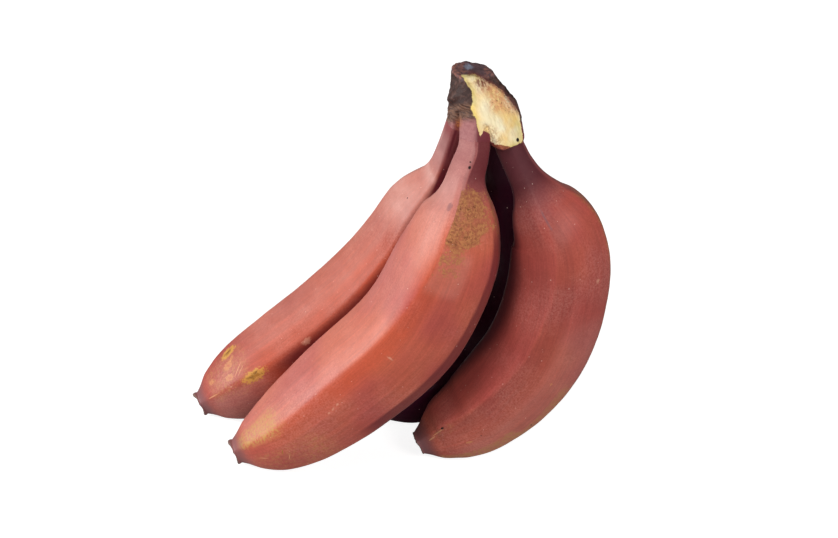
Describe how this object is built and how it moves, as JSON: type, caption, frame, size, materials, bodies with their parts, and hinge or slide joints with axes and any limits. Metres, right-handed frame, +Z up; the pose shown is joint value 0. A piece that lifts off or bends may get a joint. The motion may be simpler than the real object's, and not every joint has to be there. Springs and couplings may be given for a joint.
{
  "type": "red banana bunch",
  "caption": "Short bunch of plump red bananas on a cut crown, standing on the undersides of its curved fingers.",
  "frame": {"origin": "on the table, below the middle of the bunch's box", "axes": "+Z up through the crown; +X the side that the fingers bulge towards, with their blossom ends towards -X; -Y the front, where the crown's cut face is"},
  "size_m": [0.1707, 0.0968, 0.167],
  "materials": {
    "peel": "waxy satin red-brown banana peel with a dusty bloom",
    "crown_skin": "dry matte brown-black stalk skin, with a cream cut face in front"
  },
  "bodies": {
    "root": {"crown": "crown_skin", "finger_front_left": "peel", "finger_back_left": "peel", "finger_front_right": "peel", "finger_back_right": "peel"}
  },
  "joints": []
}
